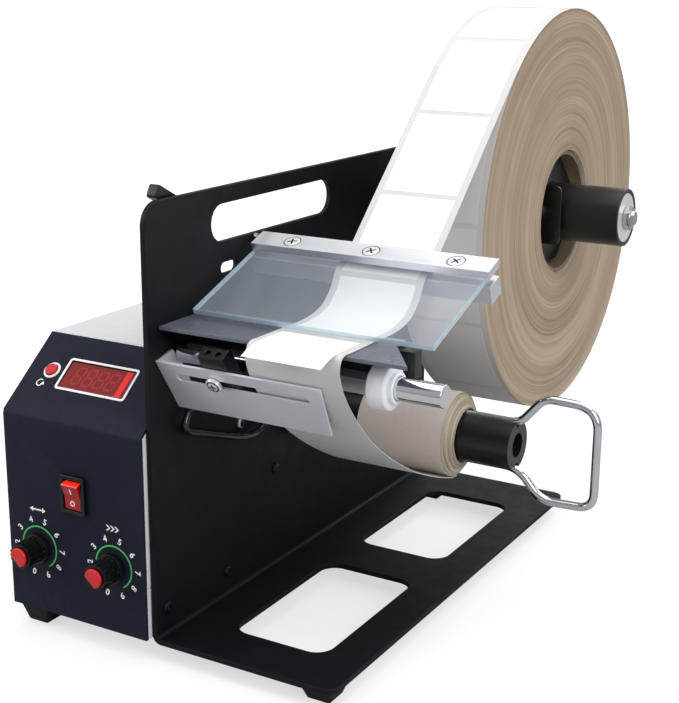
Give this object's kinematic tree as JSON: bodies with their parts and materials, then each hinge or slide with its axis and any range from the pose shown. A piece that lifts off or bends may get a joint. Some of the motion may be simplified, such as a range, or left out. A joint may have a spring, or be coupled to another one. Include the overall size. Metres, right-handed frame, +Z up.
{
  "type": "desktop label dispenser",
  "caption": "Motorised desktop label dispenser: L-shaped steel frame, control box, label roll on a spindle, hinged glass press plate, peel plate, guide roller and rewind spindle with wire bail.",
  "frame": {"origin": "centre of the footprint, on the surface the feet stand on", "axes": "+X along the spindles, away from the control box; +Y to the rear, from the control panel towards the supply roll; +Z up"},
  "size_m": [0.2842, 0.4254, 0.331],
  "materials": {
    "frame_paint": "satin black powder coat, faint blue tone",
    "panel_paint": "satin black powder coat",
    "cover_paint": "white powder coat",
    "rubber": "moulded rubber",
    "red_plastic": "glossy red plastic",
    "display_red": "dark red display window",
    "black_plastic": "moulded black plastic",
    "board_green": "circuit board lacquer",
    "zinc_steel": "zinc-plated steel",
    "brass": "machined brass",
    "chrome": "polished chrome",
    "stainless": "brushed stainless steel sheet",
    "aluminium": "satin anodised aluminium",
    "glass": "clear glass with a blue-green tint",
    "nylon": "natural white nylon",
    "tube_black": "satin black",
    "label_paper": "matt white label paper",
    "liner_paper": "glassine backing paper",
    "rewound_paper": "wound backing paper, edge on",
    "core_board": "spiral-wound cardboard"
  },
  "bodies": {
    "frame": {"main_frame": "frame_paint", "foot_base_front": "rubber", "foot_base_rear": "rubber", "foot_base_inner": "rubber", "foot_box_front": "rubber", "foot_box_rear": "rubber", "front_panel": "panel_paint", "box_cover": "cover_paint", "box_tray": "cover_paint", "display_window": "display_red", "display_module": "black_plastic", "reset_switch": "black_plastic", "switch_housing": "black_plastic", "length_pot": "zinc_steel", "speed_pot": "zinc_steel", "control_board": "board_green", "transformer": "zinc_steel", "power_inlet": "black_plastic", "gear_motor": "zinc_steel", "rewind_bearing": "zinc_steel", "guide_bearing": "zinc_steel", "peel_plate": "tube_black", "peel_bar": "tube_black", "support_bar": "aluminium", "hinge_pin": "stainless", "sensor_bracket": "stainless", "sensor_cable": "rubber", "cable_grommet": "rubber", "supply_shaft": "zinc_steel", "end_washer": "zinc_steel", "end_nut": "zinc_steel", "label_web": "liner_paper", "lever_pivot": "zinc_steel"},
    "rewind": {"rewind_shaft": "stainless", "rewind_tube": "tube_black", "spindle_gear": "nylon", "rewound_liner": "rewound_paper"},
    "bail": {"rewind_bail": "chrome"},
    "pinion": {"motor_pinion": "brass"},
    "supply": {"core_holder": "black_plastic", "spindle_sleeve": "tube_black", "core_clip": "stainless", "roll_core": "core_board", "label_roll": "label_paper"},
    "guide": {"guide_roller": "chrome"},
    "collar": {"guide_collar": "nylon"},
    "press": {"glass_plate": "glass", "clamp_strip": "aluminium", "clamp_screw_1": "zinc_steel", "clamp_screw_2": "zinc_steel", "clamp_screw_3": "zinc_steel"},
    "sensor": {"sensor_head": "black_plastic", "sensor_lock_screw": "zinc_steel"},
    "reset": {"reset_button": "red_plastic"},
    "rocker": {"power_rocker": "red_plastic"},
    "length": {"length_knob": "black_plastic", "length_knob_cap": "red_plastic"},
    "speed": {"speed_knob": "black_plastic", "speed_knob_cap": "red_plastic"},
    "lever": {"release_lever": "black_plastic"}
  },
  "joints": [
    {"name": "rewind_spin", "type": "hinge", "parent": "frame", "child": "rewind", "pos_m": [-0.04665, -0.0548, 0.1055], "axis": [1, 0, 0], "continuous": true},
    {"name": "pinion_spin", "type": "hinge", "parent": "frame", "child": "pinion", "pos_m": [-0.04665, -0.0548, 0.0735], "axis": [1, 0, 0], "continuous": true},
    {"name": "bail_slide", "type": "slide", "parent": "rewind", "child": "bail", "axis": [1, 0, 0], "range_m": [0, 0.085]},
    {"name": "supply_spin", "type": "hinge", "parent": "frame", "child": "supply", "pos_m": [-0.04665, 0.0902, 0.2085], "axis": [1, 0, 0], "continuous": true},
    {"name": "guide_spin", "type": "hinge", "parent": "frame", "child": "guide", "pos_m": [-0.04665, -0.1651, 0.1639], "axis": [1, 0, 0], "continuous": true},
    {"name": "collar_slide", "type": "slide", "parent": "guide", "child": "collar", "axis": [1, 0, 0], "range_m": [-0.006, 0.018]},
    {"name": "press_lift", "type": "hinge", "parent": "frame", "child": "press", "pos_m": [-0.04665, -0.09478, 0.21166], "axis": [-1, 0, 0], "range_deg": [0, 75]},
    {"name": "sensor_slide", "type": "slide", "parent": "frame", "child": "sensor", "axis": [1, 0, 0], "range_m": [-0.018, 0.011]},
    {"name": "reset_press", "type": "slide", "parent": "frame", "child": "reset", "axis": [0, 0.6334, -0.7738], "range_m": [0, 0.0015], "stiffness_N_per_m": 300},
    {"name": "rocker_tip", "type": "hinge", "parent": "frame", "child": "rocker", "pos_m": [-0.09485, -0.1926, 0.0855], "axis": [-1, 0, 0], "range_deg": [0, 24]},
    {"name": "length_turn", "type": "hinge", "parent": "frame", "child": "length", "pos_m": [-0.12115, -0.2008, 0.0499], "axis": [0, 1, 0], "range_deg": [-135, 135]},
    {"name": "speed_turn", "type": "hinge", "parent": "frame", "child": "speed", "pos_m": [-0.07015, -0.2008, 0.0499], "axis": [0, 1, 0], "range_deg": [-135, 135]},
    {"name": "lever_swing", "type": "hinge", "parent": "frame", "child": "lever", "pos_m": [-0.05515, -0.1438, 0.231], "axis": [1, 0, 0], "range_deg": [-15, 15]}
  ],
  "couplings": [
    {"joint": "pinion_spin", "follows": "rewind_spin", "ratio": -3}
  ]
}
